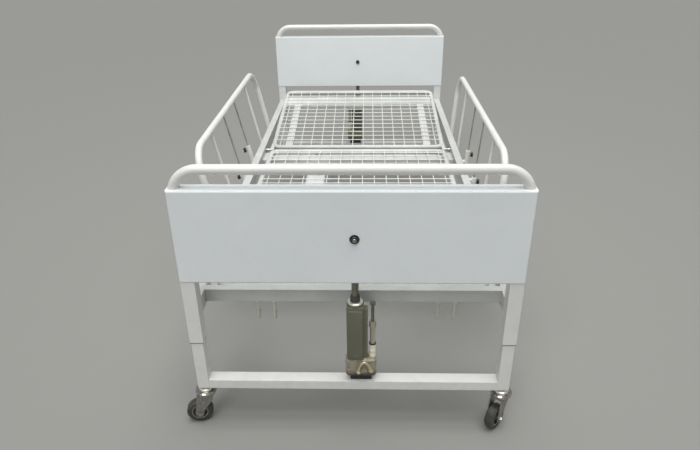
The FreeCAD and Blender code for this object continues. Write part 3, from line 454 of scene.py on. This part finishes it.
def fit_feed_pipe(end, turn):
    """Brass pipe that arches from the casting to the strut's foot, with a hexagonal nut at each end."""
    body = end + "_leg_frame"
    pipe = bent_pipe([LIFT_SEAT + Vector(point) for point in PIPE_ROUTE], PIPE_RADIUS)
    keep(end + "_feed_pipe", pipe, "brass", body, turn, SOFT_CREASE_DEG)
    face = NUT_RADIUS - NUT_CHAMFER[0]
    side = NUT_HALF - NUT_CHAMFER[1]
    nut = [(PIPE_RADIUS, -NUT_HALF), (face, -NUT_HALF), (NUT_RADIUS, -side), (NUT_RADIUS, side),
           (face, NUT_HALF), (PIPE_RADIUS, NUT_HALF)]
    for number, place in enumerate(NUT_PLACES):
        mesh = lathe(nut, LIFT_SEAT + Vector(place), HEXAGON)
        keep(f"{end}_pipe_nut_{number}", mesh, "brass", body, turn)


PAD_LOW = LIFT_SEAT + Vector((-0.0155, -0.0075, 0.0002))
PAD_HIGH = LIFT_SEAT + Vector((0.0475, 0.0215, 0.0198))
PAD_ROUNDING = 0.0035
PAD_BULGE = 0.0012


def fit_rubber_foot(end, turn):
    """Swelling rubber pad between the casting and the floor beam."""
    pad = soft_block(PAD_LOW, PAD_HIGH, PAD_ROUNDING, PAD_BULGE)
    keep(end + "_rubber_foot", pad, "black_plastic", end + "_leg_frame", turn)


# ---------------------------------------------------------------- centre bolts and casters
bolts_low, bolts_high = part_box("centre_bolts")
BOLT_SUNK = 0.0014                              # behind the front of the washer
BOLT_SEAT = Vector((LIFT_X, bolts_low.y + BOLT_SUNK, (bolts_low.z + bolts_high.z) / 2))


def fit_bolt_cap(end, turn):
    """Hexagonal head with a hollow face, in the middle of the centre bolt's washer."""
    profile = [(AXIS_RADIUS, 0.0), (0.0062, 0.0), (0.0062, 0.0024), (0.0054, 0.0032), (0.0034, 0.0032),
               (0.0030, 0.0018), (AXIS_RADIUS, 0.0014)]
    cap = lathe(profile, steps=HEXAGON)
    cap.transform(Matrix.Translation(BOLT_SEAT) @ Matrix.Rotation(QUARTER_TURN, 4, "X"))
    keep(end + "_bolt_cap", cap, "zinc", "upper_frame", turn)


def fit_bearing_rings(end, turn):
    """Bright domed ring round each caster's stem, above its swivel head."""
    profile = [(0.0121, 0.0132), (0.0205, 0.0132), (0.0212, 0.0142), (0.0196, 0.0180), (0.0170, 0.0196),
               (0.0121, 0.0200)]
    for side in ("left", "right"):
        ring = lathe(profile, joints[f"foot_{side}_swivel"]["pos_m"])
        keep(f"{end}_{side}_bearing_ring", ring, "polished", end + "_leg_frame", turn)


RIM_STEPS = 64


def fit_caster(corner):
    """Domed nut at each end of the axle, and a bright rim on each side of the wheel."""
    nut = [(0.0071, 0.0204), (0.0080, 0.0204), (0.0084, 0.0212), (0.0084, 0.0244), (0.0080, 0.0252),
           (0.0052, 0.0254), (0.0048, 0.0272), (0.0030, 0.0282), (AXIS_RADIUS, 0.0284),
           (AXIS_RADIUS, 0.0252), (0.0071, 0.0252)]
    rim = [(0.0218, 0.0116), (0.0264, 0.0116), (0.0266, 0.0122), (0.0256, 0.0131), (0.0236, 0.0131),
           (0.0220, 0.0124)]
    roll = joints[corner + "_roll"]
    heading = math.atan2(roll["axis"][1], roll["axis"][0])
    axle = Matrix.Translation(Vector(roll["pos_m"])) @ Matrix.Rotation(heading, 4, "Z")
    for number, lean in enumerate((QUARTER_TURN, -QUARTER_TURN)):
        outwards = axle @ Matrix.Rotation(lean, 4, "Y")
        for name, profile, steps, finish, body in (
                (f"{corner}_axle_nut_{number}", nut, HEXAGON, "zinc", corner + "_fork"),
                (f"{corner}_rim_{number}", rim, RIM_STEPS, "fork_steel", corner + "_wheel")):
            mesh = lathe(profile, steps=steps)
            mesh.transform(outwards)
            keep(name, mesh, finish, body)


# ---------------------------------------------------------------- surroundings
FLOOR_COLOUR = (0.24, 0.238, 0.222, 1.0)
FLOOR_ROUGHNESS = 0.7
FLOOR_REACH = 40.0
WORLD_COLOUR = (0.95, 0.97, 1.0, 1.0)
WORLD_STRENGTH = 0.33
SUN_DISTANCE = 8.0
SUNS = (("lamp_over", (0.10, -0.13, 1.0), 48.0, 2.28),
        ("lamp_front", (-0.24, -0.68, 0.73), 28.0, 1.02))     # direction, spread in degrees, strength
DECK_LAMP_PLACE = Vector((0.0, -0.5, 2.7))
DECK_LAMP_TARGET = Vector((0.0, 1.0, 0.6))
DECK_LAMP_SIZE = 1.5
DECK_LAMP_WATTS = 20.0


def make_floor():
    """Plain pale floor, far wider than the view."""
    s = Shader("floor")
    s.feed(s.surface, {"Base Color": FLOOR_COLOUR, "Roughness": FLOOR_ROUGHNESS})
    corners = [(x * FLOOR_REACH, y * FLOOR_REACH, 0.0) for x, y in ((-1, -1), (1, -1), (1, 1), (-1, 1))]
    data = bpy.data.meshes.new("floor")
    data.from_pydata(corners, [], [(0, 1, 2, 3)])
    data.materials.append(s.material)
    floor = bpy.data.objects.new("floor", data)
    scene.collection.objects.link(floor)


def add_lamp(name, kind, place, target, **settings):
    """Lamp at place that shines at target."""
    data = bpy.data.lights.new(name, kind)
    for key, value in settings.items():
        setattr(data, key, value)
    lamp = bpy.data.objects.new(name, data)
    lamp.location = place
    lamp.rotation_euler = (place - target).to_track_quat("Z", "Y").to_euler()
    scene.collection.objects.link(lamp)


def make_lights():
    """Two broad soft lamps that light cot and floor evenly, a soft box over the deck, and a pale world."""
    for name, towards, spread, strength in SUNS:
        place = Vector(towards) * SUN_DISTANCE
        add_lamp(name, "SUN", place, Vector(), angle=math.radians(spread), energy=strength)
    add_lamp("lamp_deck", "AREA", DECK_LAMP_PLACE, DECK_LAMP_TARGET,
             size=DECK_LAMP_SIZE, energy=DECK_LAMP_WATTS)
    world = bpy.data.worlds.new("world")
    world.use_nodes = True
    background = world.node_tree.nodes["Background"]
    background.inputs["Color"].default_value = WORLD_COLOUR
    background.inputs["Strength"].default_value = WORLD_STRENGTH
    scene.world = world
    scene.view_settings.view_transform = "Standard"


make_camera()
finishes = make_materials()
dress_nodes()
for end, turn in ENDS.items():
    for fit in (fit_collar, fit_strut, fit_feed_pipe, fit_rubber_foot, fit_bolt_cap, fit_bearing_rings):
        fit(end, turn)
for corner in CORNERS:
    fit_caster(corner)
make_floor()
make_lights()
